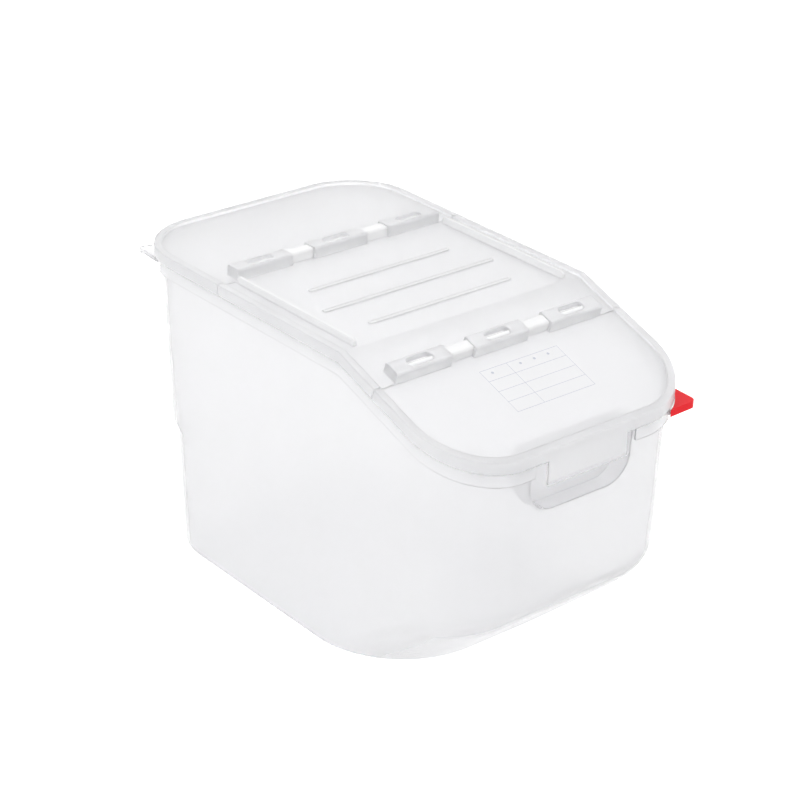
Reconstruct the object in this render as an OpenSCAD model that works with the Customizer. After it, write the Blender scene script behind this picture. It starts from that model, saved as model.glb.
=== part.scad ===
// Ingredient bin with a sloped front and a lid in three hinged parts.
// Millimetres, +Z up, front of the bin towards -Y.
// Origin: middle of the base, on the ground.

/* [Lid outline] */
// Width over the lid, side to side
lid_w = 325; // [300:1:380]
// Length over the lid, back to front
lid_l = 563; // [520:1:620]
// Corner radius of the lid at the back, seen from above
back_r = 76; // [50:1:84]
// Corner radius of the lid at the front, seen from above
front_r = 80; // [60:1:96]
// Height of the flat rear part of the lid above the ground
bin_h = 355; // [300:1:390]
// How much lower the front edge of the lid is than its flat rear part
front_drop = 65; // [50:1:100]
// Length of the sloped front part, measured level
slope_run = 188; // [160:1:200]

/* [Lid parts] */
// Thickness of the lid panels
lid_t = 2.2; // [1.6:0.1:3]
// Height of the raised bead along the edge of the lid
bead_h = 3; // [1:0.5:4]
// Width of the raised bead along the edge of the lid
bead_w = 8; // [5:1:12]
// Depth of the skirt that hangs from the edge of the lid, below the panel
skirt_d = 7; // [5:0.5:12]
// Thickness of the lid skirt
skirt_t = 1.8; // [1.4:0.1:3]
// Gap left and right of the rim inside the lid skirt
skirt_gap = 0.6; // [0.3:0.1:1.5]
// Distance of the rear hinge from the middle of the bin
rear_hinge_y = 122; // [100:1:150]
// Distance from the bend down the slope to the front hinge
front_hinge_run = 48; // [36:1:60]
// Gap between the lid panels where they meet
seam_gap = 1; // [0.6:0.1:2]

/* [Hinges] */
// Width of each raised hinge box
box_w = 70; // [50:1:74]
// Half of the depth of a hinge box, front to back
box_half = 10; // [9:0.5:12]
// Width of the gap between two hinge boxes
block_room = 30; // [20:1:34]
// Half of the depth of a hinge block, front to back
block_half = 7; // [6:0.5:8]
// Height of the hinge axis above the panel
axis_h = 7; // [7:0.5:9]
// Height of a hinge box above its axis
box_above = 5; // [4.5:0.5:6]
// Diameter of the hinge rods
rod_d = 6; // [4:0.5:6]
// Gap all round the rod in the boxes that hold it
hold_gap = 0.02; // [0.01:0.01:0.05]
// Gap all round the rod in the blocks that turn on it
turn_gap = 0.08; // [0.05:0.01:0.1]
// How much lower the hinge blocks are than the boxes
block_low = 1; // [0.5:0.5:2]
// How far a hinge block reaches into its own panel
block_root = 3; // [2:0.5:6]
// Gap beside each hinge block
block_gap = 0.4; // [0.3:0.1:0.8]
// Gap behind each hinge block, so that it can turn
swing_gap = 1.6; // [1.2:0.1:3]
// Bevel along the top edges of the boxes and blocks
box_ease = 1.6; // [0.8:0.2:2.4]
// Wall left at the closed end of the row
end_wall = 3; // [2:0.5:5]
// Length of the window on top of a hinge box
window_l = 32; // [20:1:46]
// Width of the window on top of a hinge box
window_w = 12; // [6:1:13]

/* [Panel relief] */
// Distance of the side rails from the middle of the lid
rail_x = 138; // [130:1:142]
// Height of the side rails above the panel
rail_h = 8; // [4:0.5:9]
// Thickness of the side rails
rail_t = 3.4; // [2.4:0.2:5]
// Distance from the back end of the side rails to the edge of their panel
rail_back = 4; // [2:1:12]
// Distance from the front end of the side rails to the bend
rail_front = 5; // [2:1:12]
// Bevel at the ends of the side rails
rail_ease = 2.5; // [1:0.5:4]
// Height of the cross ribs above the panel
rib_h = 1.4; // [0.8:0.1:2]
// Width of the cross ribs
rib_w = 7; // [5:0.5:9]
// Width of the groove along the top of each cross rib
rib_groove = 2.4; // [1.5:0.1:4]
// Length of the outer two cross ribs
rib_short = 188; // [150:1:210]
// Length of the cross rib in the middle
rib_long = 226; // [180:1:240]
// Distance from the middle of the bin to the middle cross rib
rib_y = -4; // [-12:1:12]
// Distance from one cross rib to the next
rib_step = 50; // [36:1:56]

/* [Flap lip] */
// Width of the lip that a finger lifts
lip_w = 104; // [80:1:120]
// Depth of the lip below the lid panel
lip_d = 34; // [24:1:40]
// Radius of the rolled lower edge of the lip
lip_roll = 1.8; // [1.2:0.1:2.4]

/* [Tub] */
// Thickness of the tub wall
wall_t = 2.6; // [2:0.1:4]
// Thickness of the tub floor
floor_t = 3; // [2:0.1:5]
// Distance from the edge of the lid to the outside of the wall
wall_inset = 7.5; // [6.5:0.5:12]
// How far each side wall leans in from the rim to the ground
side_draft = 1; // [0.5:0.5:6]
// How far the front wall leans in from the rim to the ground
front_lean = 13; // [6:1:30]
// How far the back wall leans in from the rim to the ground
back_draft = 22; // [8:1:26]
// Depth of the ledge across the back wall
ledge = 9; // [5:1:12]
// Height of the ledge across the back wall
ledge_z = 146; // [120:1:170]
// Half of the height over which the ledge slopes
ledge_half = 5; // [3:1:10]
// Front corner radius of the tub above the bevel, seen from above
waist_r = 75; // [60:1:88]
// Radius between the walls and the floor
fillet_r = 7; // [6:1:14]
// Length of the bevel under the front, measured level
bevel_run = 105; // [60:1:115]
// Height of the bevel at the front wall
bevel_h = 96; // [60:1:110]
// Front corner radius of the floor, seen from above
floor_r = 113; // [90:1:125]
// Half of the height over which the bevel rounds into the walls
bevel_ease = 18; // [8:1:24]

/* [Rim] */
// Thickness of the rim
rim_t = 2.2; // [1.8:0.1:3]
// Depth of the rim's own skirt
rim_d = 22; // [14:1:26]
// Gap between the lid and the top of the rim
rest_gap = 0.3; // [0.2:0.1:0.6]

/* [Finger recess] */
// Drop from the rim to the top of the recess
recess_drop = 1; // [0.5:0.5:4]
// Width of the recess in the front wall
recess_w = 132; // [122:1:150]
// Height of the recess
recess_h = 64; // [40:1:70]
// Corner radius at the bottom of the recess
recess_r = 30; // [15:1:34]
// Distance from the front edge of the lid to the back of the recess
recess_in = 30; // [26:1:36]

/* [Corner ears and clip] */
// How far an ear stands out past the rim
ear_out = 20; // [10:1:24]
// Half of the width of an ear at its root
ear_half = 25; // [16:1:28]
// Radius of the tip of an ear
ear_r = 6; // [4:0.5:8]
// Thickness of an ear
ear_t = 5; // [3:0.5:7]
// Drop from the lid panel to the top of an ear
ear_drop = 11; // [8:0.5:14]
// Wall of the coloured clip
clip_t = 1.6; // [1.2:0.1:2.4]
// Gap between the clip and its ear
clip_gap = 0.3; // [0.15:0.05:0.5]

/* [Hidden] */
$fn = 64;
// Reach of shapes that are cut off by others, and of cuts past a surface
far = 1000;
over = 1;
clear_tint = [0.90, 0.92, 0.95, 0.55];
clip_red = [0.85, 0.07, 0.10];

half_w = lid_w / 2;
half_l = lid_l / 2;
slope = atan(front_drop / slope_run);
bend_y = -half_l + slope_run;
panel_z = bin_h - bead_h;
// Middle of the front hinge on the surface of the panel
front_hinge_y = bend_y - front_hinge_run * cos(slope);
front_hinge_z = panel_z - front_hinge_run * sin(slope);
row_w = 3 * box_w + 2 * block_room;
rod_r = rod_d / 2;
rim_inset = skirt_t + skirt_gap;
rim_n = -lid_t - rest_gap;
front_rim_z = panel_z - front_drop + rim_n / cos(slope);
// Straight pieces in a quarter circle of the tub's outline
arc_steps = 14;

// Height of the panel surface at a place between back and front
function panel_at(y) = panel_z - (y < bend_y ? (bend_y - y) * tan(slope) : 0);

// A point of the side view, on the slope: up the slope by y and out of it by n
function on_slope(y, n) = [
    front_hinge_y + y * cos(slope) - n * sin(slope),
    front_hinge_z + y * sin(slope) + n * cos(slope)
];

// The bend of the side view, out of the panel by n
function on_bend(n) = [bend_y - n * tan(slope / 2), panel_z + n];

// Lid outline seen from above, moved inwards by inset
module plan(inset) {
    w = half_w - inset;
    l = half_l - inset;
    rf = front_r - inset;
    rb = back_r - inset;
    polygon([[-w, rf - l], [rf - w, -l], [w - rf, -l], [w, rf - l],
        [w, l - rb], [w - rb, l], [rb - w, l], [-w, l - rb]]);
    for (side = [-1, 1]) {
        translate([side * (w - rf), rf - l]) circle(r = rf, $fn = 128);
        translate([side * (w - rb), l - rb]) circle(r = rb, $fn = 128);
    }
}

// Upright ring between two insets of the lid outline
module plan_ring(outer, inner) {
    linear_extrude(height = far)
        difference() {
            plan(outer);
            plan(inner);
        }
}

// Side view drawn across the whole width
module across(width = far) {
    rotate([90, 0, 90])
        linear_extrude(height = width, center = true)
            children();
}

// Side view of a part of the lid, between two distances n from the panel surface
function side_view(part, top, bottom) =
    let (back = rear_hinge_y - box_half, seam = -box_half - seam_gap)
    part == "rear" ? [[back, panel_z + bottom], [back, panel_z + top],
        [far, panel_z + top], [far, panel_z + bottom]]
    : part == "middle" ? [[back - seam_gap, panel_z + bottom], [back - seam_gap, panel_z + top],
        on_bend(top), on_slope(-box_half, top), on_slope(-box_half, bottom), on_bend(bottom)]
    : part == "flap" ? [on_slope(seam, bottom), on_slope(seam, top),
        on_slope(-far, top), on_slope(-far, bottom)]
    : [[far, panel_z + bottom], [far, panel_z + top], on_bend(top),
        on_slope(-far, top), on_slope(-far, bottom), on_bend(bottom)];

module layer(part, top, bottom) {
    across() polygon(side_view(part, top, bottom));
}

// Panel with its bead and skirt, for one part of the lid
module shell(part) {
    intersection() {
        linear_extrude(height = far) plan(0);
        layer(part, 0, -lid_t);
    }
    intersection() {
        plan_ring(0, bead_w);
        layer(part, bead_h, -lid_t);
    }
    intersection() {
        plan_ring(0, skirt_t);
        layer(part, bead_h, -lid_t - skirt_d);
    }
}

module at_rear_hinge() {
    translate([0, rear_hinge_y, panel_z]) children();
}

module at_front_hinge() {
    translate([0, front_hinge_y, front_hinge_z]) rotate([slope, 0, 0]) children();
}

// Rod along the hinge axis, from x0 to x1
module axis_rod(radius, x0, x1) {
    translate([x0, 0, axis_h])
        rotate([0, 90, 0])
            cylinder(r = radius, h = x1 - x0, $fn = 48);
}

// Side view of a box or block with a bevelled top, from y0 to y1
function box_side(y0, y1, top) = [[y0, -lid_t], [y0, top - box_ease], [y0 + box_ease, top],
    [y1 - box_ease, top], [y1, top - box_ease], [y1, -lid_t]];

// Raised boxes of the panel behind the hinge, without their bores
module hinge_boxes() {
    for (i = [-1, 0, 1])
        translate([i * (box_w + block_room), 0, 0])
            across(box_w) polygon(box_side(-box_half, box_half, axis_h + box_above));
}

// Flat bar with round ends, along X
module bar(length, width, height) {
    linear_extrude(height = height) {
        square([length - width, width], center = true);
        for (end = [-1, 1])
            translate([end * (length - width) / 2, 0])
                circle(d = width, $fn = 32);
    }
}

// Bore for the rod, windows over it, and room for the blocks of the other panel
module hinge_box_cuts() {
    axis_rod(rod_r + hold_gap, end_wall - row_w / 2 - hold_gap, row_w / 2 + over);
    for (i = [-1, 0, 1])
        translate([i * (box_w + block_room), 0, axis_h])
            bar(window_l, window_w, box_above + over);
    for (i = [-1, 1])
        translate([(i * (box_w + block_room) - block_room) / 2, -box_half - over, -lid_t - over])
            cube([block_room, box_half + over + block_half + swing_gap,
                lid_t + axis_h + box_above + 2 * over]);
}

// Blocks of the panel in front of the hinge, which turn on the rod
module hinge_blocks() {
    root = box_half + seam_gap + block_root;
    difference() {
        for (i = [-1, 1])
            translate([i * (box_w + block_room) / 2, 0, 0])
                across(block_room - 2 * block_gap) {
                    polygon(box_side(-block_half, block_half, axis_h + box_above - block_low));
                    translate([-root, -lid_t]) square([root, lid_t]);
                }
        axis_rod(rod_r + turn_gap, -row_w / 2, row_w / 2);
    }
}

module hinge_rod() {
    axis_rod(rod_r, end_wall - row_w / 2, row_w / 2);
}

module rear_lid() {
    color(clear_tint)
        difference() {
            union() {
                shell("rear");
                at_rear_hinge() hinge_boxes();
            }
            at_rear_hinge() hinge_box_cuts();
        }
}

module side_rails() {
    back = rear_hinge_y - box_half - seam_gap - rail_back;
    front = bend_y + rail_front;
    root = panel_z - lid_t / 2;
    top = panel_z + rail_h;
    for (side = [-1, 1])
        translate([side * rail_x, 0, 0])
            across(rail_t)
                polygon([[back, root], [back, top - rail_ease], [back - rail_ease, top],
                    [front + rail_ease, top], [front, top - rail_ease], [front, root]]);
}

module cross_ribs() {
    for (i = [-1, 0, 1]) {
        length = i == 0 ? rib_long : rib_short;
        translate([0, rib_y + i * rib_step, panel_z])
            difference() {
                translate([0, 0, -lid_t / 2]) bar(length, rib_w, rib_h + lid_t / 2);
                translate([0, 0, rib_h / 2]) bar(length - rib_w + rib_groove, rib_groove, rib_h);
            }
    }
}

module middle_lid() {
    color(clear_tint)
        difference() {
            union() {
                shell("middle");
                side_rails();
                cross_ribs();
                at_rear_hinge() hinge_blocks();
                at_front_hinge() hinge_boxes();
            }
            at_front_hinge() hinge_box_cuts();
        }
}

// Lip that hangs from the middle of the flap's front skirt
module flap_lip() {
    intersection() {
        plan_ring(0, skirt_t);
        layer("flap", -lid_t, -lip_d);
        translate([-lip_w / 2, -far, 0]) cube([lip_w, far, far]);
    }
    translate([-lip_w / 2, skirt_t / 2 - half_l, panel_at(-half_l) - lip_d / cos(slope) + lip_roll])
        rotate([0, 90, 0])
            cylinder(r = lip_roll, h = lip_w, $fn = 32);
}

module front_flap() {
    color(clear_tint) {
        shell("flap");
        flap_lip();
        at_front_hinge() hinge_blocks();
    }
}

module rear_hinge_rod() {
    color(clear_tint) at_rear_hinge() hinge_rod();
}

module front_hinge_rod() {
    color(clear_tint) at_front_hinge() hinge_rod();
}

// Quarter circle of points round a corner, seen from above
function corner(x, y, r, from) =
    [for (k = [0:arc_steps])
        let (a = from + 90 * k / arc_steps)
        [x + r * cos(a), y + r * sin(a)]];

// Share of the bevel that is left at a depth below its top, rounded off near the top
function bevel_share(depth) = depth < -bevel_ease ? 0
    : depth > bevel_ease ? depth / bevel_h
    : pow(depth + bevel_ease, 2) / (4 * bevel_ease * bevel_h);

// Outline of the tub at one height, moved inwards by inset, with its bevel moved up by lift
function tub_outline(z, inset, lift) =
    let (
        rim_z = panel_z + rim_n,
        up = min(z, front_rim_z) / front_rim_z,
        cut = bevel_share(bevel_h + lift - z),
        w = half_w - wall_inset - side_draft * (1 - z / rim_z) - inset,
        front = half_l - wall_inset - front_lean * (1 - up) - bevel_run * cut - inset,
        back = half_l - wall_inset - back_draft * (1 - z / rim_z) - (z < ledge_z ? ledge : 0) - inset,
        rf = front_r - wall_inset + (waist_r - front_r + wall_inset) * (1 - up)
            + (floor_r - waist_r) * cut - inset,
        rb = back_r - wall_inset - inset
    )
    concat(
        corner(w - rb, back - rb, rb, 0),
        corner(rb - w, back - rb, rb, 90),
        corner(rf - w, rf - front, rf, 180),
        corner(w - rf, rf - front, rf, 270)
    );

// Solid through the outlines of the tub, moved inwards by inset and up by lift
module tub_solid(inset, lift) {
    round = fillet_r - inset;
    foot = [for (a = [0:15:90]) [lift + round * (1 - cos(a)), inset + round * (1 - sin(a))]];
    waist = [for (k = [-2:2]) [bevel_h + lift + k * bevel_ease / 2, inset]];
    upper = [for (z = [ledge_z - ledge_half, ledge_z + ledge_half, front_rim_z, bin_h]) [z, inset]];
    levels = concat(foot, waist, upper);
    n = 4 * (arc_steps + 1);
    last = len(levels) - 1;
    points = [for (level = levels) for (p = tub_outline(level[0], level[1], lift)) [p[0], p[1], level[0]]];
    lower = [for (i = [0:last - 1]) for (k = [0:n - 1])
        [i * n + k, (i + 1) * n + k, i * n + (k + 1) % n]];
    higher = [for (i = [0:last - 1]) for (k = [0:n - 1])
        [(i + 1) * n + k, (i + 1) * n + (k + 1) % n, i * n + (k + 1) % n]];
    polyhedron(
        points = points,
        faces = concat([[for (k = [0:n - 1]) k]], lower, higher, [[for (k = [n - 1:-1:0]) last * n + k]]),
        convexity = 6
    );
}

// Solid of the finger recess, grown by grow on all sides but the front
module recess(grow) {
    w = recess_w / 2 + grow;
    r = recess_r + grow;
    top = front_rim_z - rim_t - recess_drop + grow;
    bottom = top - recess_h - 2 * grow;
    translate([0, recess_in - half_l + grow, 0])
        rotate([90, 0, 0])
            linear_extrude(height = far) {
                translate([-w, bottom + r]) square([2 * w, top - bottom - r]);
                translate([r - w, bottom]) square([2 * w - 2 * r, r + over]);
                for (side = [-1, 1])
                    translate([side * (w - r), bottom + r]) circle(r = r);
            }
}

module rim() {
    intersection() {
        plan_ring(rim_inset, wall_inset + wall_t / 2);
        layer("whole", rim_n, rim_n - rim_t);
    }
    intersection() {
        plan_ring(rim_inset, rim_inset + rim_t);
        layer("whole", rim_n, rim_n - rim_d);
    }
}

// Ear seen from above: along X from a rim corner of radius r, cut off inside root_r
module ear_outline(r, grow, root_r) {
    tip = r + ear_out - ear_r;
    difference() {
        union() {
            translate([tip, 0]) circle(r = ear_r + grow, $fn = 48);
            polygon([[root_r / 2, -ear_half - grow], [r - rim_t, -ear_half - grow],
                [tip, -ear_r - grow], [tip, ear_r + grow],
                [r - rim_t, ear_half + grow], [root_r / 2, ear_half + grow]]);
        }
        circle(r = root_r, $fn = 128);
    }
}

module ear(r) {
    translate([0, 0, -ear_t])
        linear_extrude(height = ear_t)
            ear_outline(r, 0, r - rim_t / 2);
}

module at_back_ear() {
    translate([back_r - half_w, half_l - back_r, panel_z - ear_drop])
        rotate([0, 0, 135])
            children();
}

module at_front_ear() {
    y = -half_l + front_r - (front_r + ear_half) * sqrt(0.5);
    translate([half_w - front_r, front_r - half_l, panel_at(y) - ear_drop / cos(slope)])
        rotate([0, 0, -45])
            children();
}

module bin_body() {
    color(clear_tint)
        difference() {
            union() {
                difference() {
                    intersection() {
                        tub_solid(0, 0);
                        layer("whole", rim_n, -far);
                    }
                    difference() {
                        tub_solid(wall_t, floor_t);
                        recess(wall_t);
                    }
                }
                rim();
                at_back_ear() ear(back_r - rim_inset);
                at_front_ear() ear(front_r - rim_inset);
            }
            recess(0);
        }
}

// Clip in the shape of the ear, open towards the bin
module colour_clip() {
    r = front_r - rim_inset;
    wall = clip_gap + clip_t;
    color(clip_red)
        at_front_ear()
            difference() {
                translate([0, 0, -ear_t - wall])
                    linear_extrude(height = ear_t + 2 * wall)
                        ear_outline(r, wall, front_r + skirt_gap);
                translate([0, 0, -ear_t - clip_gap])
                    linear_extrude(height = ear_t + 2 * clip_gap)
                        ear_outline(r, clip_gap, r);
            }
}

bin_body();
rear_lid();
middle_lid();
front_flap();
rear_hinge_rod();
front_hinge_rod();
colour_clip();
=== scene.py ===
import math

import bmesh
import bpy
from mathutils import Matrix, Vector


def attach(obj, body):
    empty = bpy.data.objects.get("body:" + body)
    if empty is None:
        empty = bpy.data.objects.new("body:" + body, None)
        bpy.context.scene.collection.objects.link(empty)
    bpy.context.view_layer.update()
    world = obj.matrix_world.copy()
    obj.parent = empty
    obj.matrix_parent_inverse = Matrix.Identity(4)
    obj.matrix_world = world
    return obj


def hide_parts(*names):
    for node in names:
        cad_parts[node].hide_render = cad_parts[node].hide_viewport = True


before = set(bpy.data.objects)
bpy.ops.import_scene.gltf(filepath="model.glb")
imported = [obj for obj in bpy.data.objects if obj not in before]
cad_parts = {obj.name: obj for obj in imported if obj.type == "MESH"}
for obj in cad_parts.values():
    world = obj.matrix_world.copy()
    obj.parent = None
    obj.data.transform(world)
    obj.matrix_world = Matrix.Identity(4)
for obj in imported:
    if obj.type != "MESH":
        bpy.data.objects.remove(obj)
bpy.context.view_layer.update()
scene = bpy.context.scene
print("frame loaded")

# Camera, matched to the photograph
shot = {
    "place": (-1.44911, -1.76323, 1.34131),  # metres
    "azimuth": -38.903,  # degrees, 0 looks along +Y
    "elevation": 26.112,
    "roll": 0.690,
    "focalPixels": 2392.8,  # in a frame 800 pixels wide
    "centre": (386.47, 395.29),  # where the lens axis meets the picture
    "frameWidth": 800,
    "sensorWidth": 36,  # millimetres
    "sight": 50,  # metres that the camera sees
}


def addCamera(s):
    a, e, r = (math.radians(s[k]) for k in ("azimuth", "elevation", "roll"))
    back = Vector((math.sin(a) * math.cos(e), -math.cos(a) * math.cos(e), math.sin(e)))
    side = Vector((math.cos(a), math.sin(a), 0))
    up = back.cross(side)
    turnedSide = side * math.cos(r) + up * math.sin(r)
    turnedUp = up * math.cos(r) - side * math.sin(r)
    lens = bpy.data.cameras.new("productCamera")
    lens.sensor_width = s["sensorWidth"]
    lens.lens = s["focalPixels"] * lens.sensor_width / s["frameWidth"]
    lens.shift_x = 0.5 - s["centre"][0] / s["frameWidth"]
    lens.shift_y = s["centre"][1] / s["frameWidth"] - 0.5
    lens.clip_end = s["sight"]
    camera = bpy.data.objects.new("productCamera", lens)
    turn = Matrix((turnedSide, turnedUp, back)).transposed().to_4x4()
    camera.matrix_world = Matrix.Translation(s["place"]) @ turn
    scene.collection.objects.link(camera)
    scene.camera = camera


addCamera(shot)
scene.view_settings.view_transform = "Standard"
print("camera set")


def newMaterial(name):
    material = bpy.data.materials.new(name)
    material.use_nodes = True
    tree = material.node_tree
    tree.nodes.clear()
    return material, tree, tree.nodes.new("ShaderNodeOutputMaterial")


def addNode(tree, kind, inputs=None, **settings):
    node = tree.nodes.new(kind)
    for name, value in settings.items():
        setattr(node, name, value)
    for name, value in (inputs or {}).items():
        node.inputs[name].default_value = value
    return node


# White studio with a pale floor that keeps the shadow
studio = {
    "lightColour": (1, 1, 1, 1),
    "worldLight": 0.93,
    "worldShown": 1,  # strength for camera, glossy and transmission rays
    "floorColour": (0.93, 0.93, 0.93, 1),
    "floorLift": 0.42,  # glow for the same rays
    "floorRoughness": 0.9,
    "floorShine": 0.1,
    "floorSize": 14,
    "floorParts": 4,  # squares along each side
    "floorDrop": 0.0005,  # keeps it clear of the tub's underside
    "aim": (0, 0, 0.16),
    "lamps": {
        "keyLamp": {"place": (-1.9, -0.6, 2.3), "size": 1.3, "watts": 13},
        "fillLamp": {"place": (1.9, -1.6, 1.5), "size": 1.6, "watts": 5},
        "topLamp": {"place": (0.5, 1.2, 2.5), "size": 1.6, "watts": 8},
    },
}


def whereSeen(tree):
    path = addNode(tree, "ShaderNodeLightPath")
    first = addNode(tree, "ShaderNodeMath", operation="MAXIMUM")
    second = addNode(tree, "ShaderNodeMath", operation="MAXIMUM")
    tree.links.new(path.outputs["Is Camera Ray"], first.inputs[0])
    tree.links.new(path.outputs["Is Glossy Ray"], first.inputs[1])
    tree.links.new(first.outputs[0], second.inputs[0])
    tree.links.new(path.outputs["Is Transmission Ray"], second.inputs[1])
    return second.outputs[0]


def buildWorld(s):
    world = bpy.data.worlds.new("whiteRoom")
    world.use_nodes = True
    scene.world = world
    tree = world.node_tree
    tree.nodes.clear()
    out = addNode(tree, "ShaderNodeOutputWorld")
    lit, shown = (
        addNode(tree, "ShaderNodeBackground", {"Color": s["lightColour"], "Strength": s[k]})
        for k in ("worldLight", "worldShown"))
    mix = addNode(tree, "ShaderNodeMixShader")
    tree.links.new(whereSeen(tree), mix.inputs[0])
    tree.links.new(lit.outputs[0], mix.inputs[1])
    tree.links.new(shown.outputs[0], mix.inputs[2])
    tree.links.new(mix.outputs[0], out.inputs["Surface"])


def buildFloor(s):
    material, tree, out = newMaterial("paleFloor")
    surface = addNode(tree, "ShaderNodeBsdfPrincipled", {
        "Base Color": s["floorColour"],
        "Roughness": s["floorRoughness"],
        "Specular IOR Level": s["floorShine"],
        "Emission Color": s["lightColour"],
    })
    lift = addNode(tree, "ShaderNodeMath", {1: s["floorLift"]}, operation="MULTIPLY")
    tree.links.new(whereSeen(tree), lift.inputs[0])
    tree.links.new(lift.outputs[0], surface.inputs["Emission Strength"])
    tree.links.new(surface.outputs[0], out.inputs["Surface"])
    bm = bmesh.new()
    parts = s["floorParts"]
    bmesh.ops.create_grid(bm, x_segments=parts, y_segments=parts, size=s["floorSize"] / 2)
    mesh = bpy.data.meshes.new("studioFloor")
    bm.to_mesh(mesh)
    bm.free()
    mesh.materials.append(material)
    floor = bpy.data.objects.new("studioFloor", mesh)
    floor.location.z = -s["floorDrop"]
    scene.collection.objects.link(floor)


def hangLamps(s):
    for name, lamp in s["lamps"].items():
        light = bpy.data.lights.new(name, "AREA")
        light.shape = "DISK"
        light.size = lamp["size"]
        light.energy = lamp["watts"]
        obj = bpy.data.objects.new(name, light)
        obj.location = lamp["place"]
        aim = Vector(s["aim"]) - obj.location
        obj.rotation_euler = aim.to_track_quat("-Z", "Y").to_euler()
        scene.collection.objects.link(obj)


buildWorld(studio)
buildFloor(studio)
hangLamps(studio)
print("studio built")

# Natural polypropylene: see-through with a milky haze, greyer where light runs along the sheet
tubPlastic = {
    "colours": ((0.962, 0.962, 0.972, 1), (0.98, 0.98, 0.987, 1)),
    "clearness": 0.68,  # share that passes through each face, the rest is haze
    "bending": 1.49,  # refractive index
    "shine": 0.4,
    "roughness": (0.17, 0.25),
    "cloudScale": 9,  # of the noise: the higher, the finer
    "grainScale": 700,
    "grainDepth": 0.00002,
    "edgeRound": 0.0012,
    "depthColour": (0.80, 0.805, 0.83, 1),  # what is left of light that runs along the sheet
    "depthDensity": 3.5,
    "shade": (0.93, 0.93, 0.935, 1),  # tint of the light that a sheet lets through to the floor
}
lidPlastic = dict(
    tubPlastic,
    clearness=0.66,
    roughness=(0.29, 0.36),
    depthDensity=2.5,
    edgeRound=0.0022,
    cloudScale=14,
)
# Whiter, milkier copy of the lid finish for the raised ribs, rails and hinge blocks: a painted
# highlight
paintedHighlightPlastic = dict(
    lidPlastic,
    clearness=0.22,
    colours=((0.985, 0.985, 0.99, 1), (0.995, 0.995, 0.998, 1)),
    roughness=(0.40, 0.50),
)
rodPlastic = dict(
    tubPlastic,
    clearness=0.05,
    roughness=(0.12, 0.18),
    edgeRound=0.0005,
    depthDensity=2,
)
# Noise behind the clouds and the grain of every finish
finishNoise = {
    "grainDetail": 2,
    "grainStrength": 0.3,
    "edgeSamples": 4,
    "cloudDetail": 3,
    "cloudRoughness": 0.5,
    "cloudSpan": (0.3, 0.7),  # share of the noise that the clouds are spread over
}


def addGrain(tree, coords, surface, p, noise):
    grain = addNode(tree, "ShaderNodeTexNoise", {
        "Scale": p["grainScale"], "Detail": noise["grainDetail"]})
    tree.links.new(coords.outputs["Object"], grain.inputs["Vector"])
    rounded = addNode(
        tree, "ShaderNodeBevel", {"Radius": p["edgeRound"]}, samples=noise["edgeSamples"])
    bump = addNode(tree, "ShaderNodeBump", {
        "Strength": noise["grainStrength"], "Distance": p["grainDepth"]})
    tree.links.new(grain.outputs[0], bump.inputs["Height"])
    tree.links.new(rounded.outputs[0], bump.inputs["Normal"])
    tree.links.new(bump.outputs[0], surface.inputs["Normal"])


def addClouds(tree, coords, surface, p, noise):
    cloud = addNode(tree, "ShaderNodeTexNoise", {
        "Scale": p["cloudScale"],
        "Detail": noise["cloudDetail"],
        "Roughness": noise["cloudRoughness"],
    })
    tree.links.new(coords.outputs["Object"], cloud.inputs["Vector"])
    fromLow, fromHigh = noise["cloudSpan"]
    low, high = p["roughness"]
    spread = addNode(tree, "ShaderNodeMapRange", {
        "From Min": fromLow, "From Max": fromHigh, "To Min": low, "To Max": high})
    tree.links.new(cloud.outputs[0], spread.inputs["Value"])
    tree.links.new(spread.outputs["Result"], surface.inputs["Roughness"])
    return cloud


def clearPlastic(name, p):
    material, tree, out = newMaterial(name)
    coords = addNode(tree, "ShaderNodeTexCoord")
    surface = addNode(tree, "ShaderNodeBsdfPrincipled", {
        "Transmission Weight": p["clearness"],
        "IOR": p["bending"],
        "Specular IOR Level": p["shine"],
    })
    cloud = addClouds(tree, coords, surface, p, finishNoise)
    addGrain(tree, coords, surface, p, finishNoise)
    tint = addNode(tree, "ShaderNodeValToRGB")
    stops = zip(tint.color_ramp.elements, finishNoise["cloudSpan"], p["colours"])
    for stop, place, colour in stops:
        stop.position = place
        stop.color = colour
    tree.links.new(cloud.outputs[0], tint.inputs[0])
    tree.links.new(tint.outputs[0], surface.inputs["Base Color"])
    path = addNode(tree, "ShaderNodeLightPath")
    shade = addNode(tree, "ShaderNodeBsdfTransparent", {"Color": p["shade"]})
    mix = addNode(tree, "ShaderNodeMixShader")
    tree.links.new(path.outputs["Is Shadow Ray"], mix.inputs[0])
    tree.links.new(surface.outputs[0], mix.inputs[1])
    tree.links.new(shade.outputs[0], mix.inputs[2])
    tree.links.new(mix.outputs[0], out.inputs["Surface"])
    depth = addNode(tree, "ShaderNodeVolumeAbsorption", {
        "Color": p["depthColour"], "Density": p["depthDensity"]})
    tree.links.new(depth.outputs[0], out.inputs["Volume"])
    return material


clipPlastic = {
    "colour": (0.76, 0.002, 0.010, 1),
    "shine": 0.14,
    "roughness": (0.17, 0.25),
    "cloudScale": 60,
    "grainScale": 900,
    "grainDepth": 0.00003,
    "edgeRound": 0.0005,
}


def solidPlastic(name, p):
    material, tree, out = newMaterial(name)
    coords = addNode(tree, "ShaderNodeTexCoord")
    surface = addNode(tree, "ShaderNodeBsdfPrincipled", {
        "Base Color": p["colour"], "Specular IOR Level": p["shine"]})
    addClouds(tree, coords, surface, p, finishNoise)
    addGrain(tree, coords, surface, p, finishNoise)
    tree.links.new(surface.outputs[0], out.inputs["Surface"])
    return material


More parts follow.
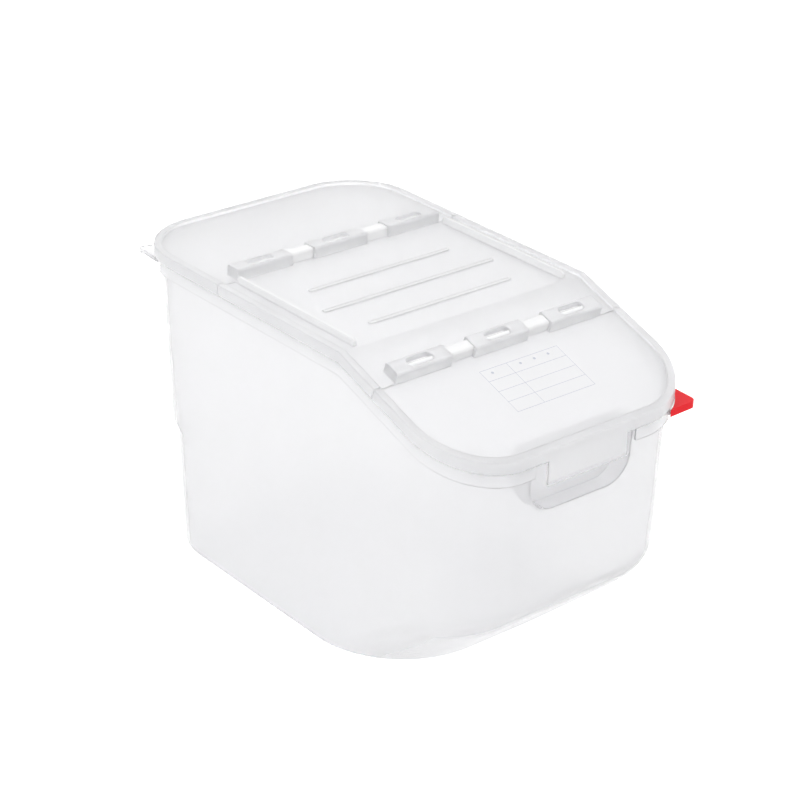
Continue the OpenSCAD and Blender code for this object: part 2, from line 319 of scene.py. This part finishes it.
# The clip in its own frame: x points out of the corner, and the sides run straight to a round tip
clipShape = {
    "origin": (0.0825, -0.2015, 0.27735),
    "turn": -45,  # degrees about Z
    "rootX": 0.0754,
    "tipX": 0.0916,
    "tipRadius": 0.0079,
    "sideNow": 0.0269,  # half width of the solid at its root
    "sideWanted": 0.0290,
    "middle": -0.0025,  # height halfway through the clip
    "halfThickness": 0.0038,
    "wallFrom": 0.0035,  # what is further from the middle is the outside
    "chamfer": 0.0007,
    "chamferSteps": 2,
    "chamferFrom": 50,  # degrees between faces that get it
}


def shapeClip(mesh, c):
    turn = Matrix.Translation(c["origin"]) @ Matrix.Rotation(math.radians(c["turn"]), 4, "Z")
    back = turn.inverted()
    reach, side, r = c["tipX"] - c["rootX"], c["sideWanted"], c["tipRadius"]
    slant = math.atan2(side, reach) - math.asin(r / math.hypot(side, reach))
    touch = c["tipX"] + r * math.sin(slant)
    for v in mesh.vertices:
        p = back @ v.co
        x = max(p.x, c["rootX"])
        if x < touch:
            if x < c["tipX"]:
                now = c["sideNow"] + (r - c["sideNow"]) * (x - c["rootX"]) / reach
            else:
                now = math.sqrt(r * r - (x - c["tipX"]) ** 2)
            p.y *= (side - (x - c["rootX"]) * math.tan(slant)) / now
        high = p.z - c["middle"]
        if abs(high) > c["wallFrom"]:
            p.z = c["middle"] + math.copysign(c["halfThickness"], high)
        v.co = turn @ p


def chamferClip(obj, c):
    chamfer = obj.modifiers.new("chamfer", "BEVEL")
    chamfer.width = c["chamfer"]
    chamfer.segments = c["chamferSteps"]
    chamfer.limit_method = "ANGLE"
    chamfer.angle_limit = math.radians(c["chamferFrom"])


# Each moulded piece stands for its node, with its facets shaded as the smooth faces they are
moulding = {
    "joinWithin": 0.00001,
    "sharpFrom": 28,  # degrees between faces that meet at a real edge
    "flatWeight": 60,  # how far large flat faces set the shading beside them
    "pieces": {
        "bin_body": ("clearTub", "tub", "clear_body", clearPlastic, tubPlastic),
        "rear_lid": ("rearLidPanel", "lid", "clear_lid", clearPlastic, lidPlastic),
        "middle_lid": ("middleLidPanel", "middle", "clear_lid", clearPlastic, lidPlastic),
        "front_flap": ("frontFlap", "flap", "clear_lid", clearPlastic, lidPlastic),
        "rear_hinge_rod": ("rearHingeRod", "lid", "clear_rod", clearPlastic, rodPlastic),
        "front_hinge_rod": ("frontHingeRod", "middle", "clear_rod", clearPlastic, rodPlastic),
        "colour_clip": ("redCornerClip", "clip", "red_clip", solidPlastic, clipPlastic),
    },
}
# Face of the lid's panels: its height, and the y where it bends down towards the front
panelFace = {
    "height": 0.352,
    "bend": -0.0935,
    "slope": 19.07,  # degrees
}
# Ribs, rails and hinge blocks on the lid get a whiter, milkier copy of the lid's finish: a
# painted highlight on the raised parts.
# Each node has a stretch in x and in y, and how far above the panel's face it begins
paintedHighlightPlaces = {
    "middle_lid": {"across": (-0.15, 0.15), "along": (-0.090, 0.140), "above": 0.0003},
    "front_flap": {"across": (-0.15, 0.15), "along": (-0.153, -0.120), "above": 0.0012},
}


# Gives the faces raised above the panel's face the second, whiter finish: a painted highlight
def addPaintedHighlightFaces(mesh, place, panel):
    left, right = place["across"]
    front, rear = place["along"]
    for face in mesh.polygons:
        x, y, z = face.center
        drop = max(0, panel["bend"] - y) * math.tan(math.radians(panel["slope"]))
        above = z - panel["height"] + drop
        if left < x < right and front < y < rear and above > place["above"]:
            face.material_index = 1


def smoothCopy(node, name, m):
    bm = bmesh.new()
    bm.from_mesh(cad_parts[node].data)
    bmesh.ops.remove_doubles(bm, verts=bm.verts[:], dist=m["joinWithin"])
    bmesh.ops.recalc_face_normals(bm, faces=bm.faces[:])
    for face in bm.faces:
        face.smooth = True
    limit = math.radians(m["sharpFrom"])
    for edge in bm.edges:
        edge.smooth = len(edge.link_faces) == 2 and edge.calc_face_angle(0) < limit
    mesh = bpy.data.meshes.new(name)
    bm.to_mesh(mesh)
    bm.free()
    for old in [a for a in mesh.attributes if a.name == "custom_normal"]:
        mesh.attributes.remove(old)
    mesh.materials.clear()
    return mesh


def mouldPieces(m):
    made = {}
    paintedHighlight = clearPlastic("paintedHighlightFinish", paintedHighlightPlastic)
    for node, (name, body, slot, finish, values) in m["pieces"].items():
        if slot not in made:
            made[slot] = finish(slot + "Finish", values)
        mesh = smoothCopy(node, name, m)
        mesh.materials.append(made[slot])
        # Raised ribs, rails and blocks take the whiter finish, a painted highlight
        if node in paintedHighlightPlaces:
            mesh.materials.append(paintedHighlight)
            addPaintedHighlightFaces(mesh, paintedHighlightPlaces[node], panelFace)
        obj = bpy.data.objects.new(name, mesh)
        scene.collection.objects.link(obj)
        if node == "colour_clip":
            shapeClip(mesh, clipShape)
            chamferClip(obj, clipShape)
        even = obj.modifiers.new("evenShading", "WEIGHTED_NORMAL")
        even.keep_sharp = True
        even.weight = m["flatWeight"]
        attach(obj, body)
        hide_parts(node)


mouldPieces(moulding)
print("plastic pieces moulded")

# Write-on panel printed on the flap: fine ruled lines and tick dots
writeOnPanel = {
    "hingePlace": (-0.138866, 0.336315),  # y and z on the flap's face under the front hinge
    "across": (-0.044, 0.058),
    "along": (-0.030, -0.092),  # down the slope from the hinge
    "inkFrom": 0.00003,  # heights above the flap's face
    "inkTop": 0.00008,
    "line": 0.0005,
    "rows": 4,
    "columns": (0, 0.34, 1),  # shares of the width
    "dots": (0.12, 0.48, 0.66, 0.84),
    "dotPlace": -0.036,
    "dotRadius": 0.0016,
    "dotSides": 20,
}
printInk = {
    "colour": (0.64, 0.66, 0.72, 1),
    "shine": 0.3,
    "roughness": (0.32, 0.40),
    "cloudScale": 40,
    "grainScale": 500,
    "grainDepth": 0.00002,
    "edgeRound": 0.0001,
}


def onFlap(w, x, along, up):
    a = math.radians(panelFace["slope"])
    y, z = w["hingePlace"]
    ahead, above = along * math.cos(a) - up * math.sin(a), along * math.sin(a) + up * math.cos(a)
    return Vector((x, y + ahead, z + above))


def addInk(bm, w, outline):
    low, high = (
        [bm.verts.new(onFlap(w, x, y, h)) for x, y in outline]
        for h in (w["inkFrom"], w["inkTop"]))
    bm.faces.new(high)
    bm.faces.new(low[::-1])
    for i in range(len(outline)):
        j = (i + 1) % len(outline)
        bm.faces.new((low[i], low[j], high[j], high[i]))


def printPanel(w):
    bm = bmesh.new()
    x0, x1 = w["across"]
    y1, y0 = w["along"]
    rows = [y0 + (y1 - y0) * i / w["rows"] for i in range(w["rows"] + 1)]
    columns = [x0 + (x1 - x0) * c for c in w["columns"]]
    half = w["line"] / 2
    for y in rows:
        left, right = x0 - half, x1 + half
        addInk(bm, w, [(left, y - half), (right, y - half), (right, y + half), (left, y + half)])
    for x in columns:
        left, right = x - half, x + half
        for lower, upper in zip(rows, rows[1:]):
            low, high = lower + half, upper - half
            addInk(bm, w, [(left, low), (right, low), (right, high), (left, high)])
    turns = [2 * math.pi * i / w["dotSides"] for i in range(w["dotSides"])]
    for d in w["dots"]:
        x, y, r = x0 + (x1 - x0) * d, w["dotPlace"], w["dotRadius"]
        addInk(bm, w, [(x + r * math.cos(t), y + r * math.sin(t)) for t in turns])
    mesh = bpy.data.meshes.new("flapWriteOnPanel")
    bm.to_mesh(mesh)
    bm.free()
    mesh.materials.append(solidPlastic("labelInk", printInk))
    obj = bpy.data.objects.new("flapWriteOnPanel", mesh)
    scene.collection.objects.link(obj)
    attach(obj, "flap")


printPanel(writeOnPanel)
print("write-on panel printed")
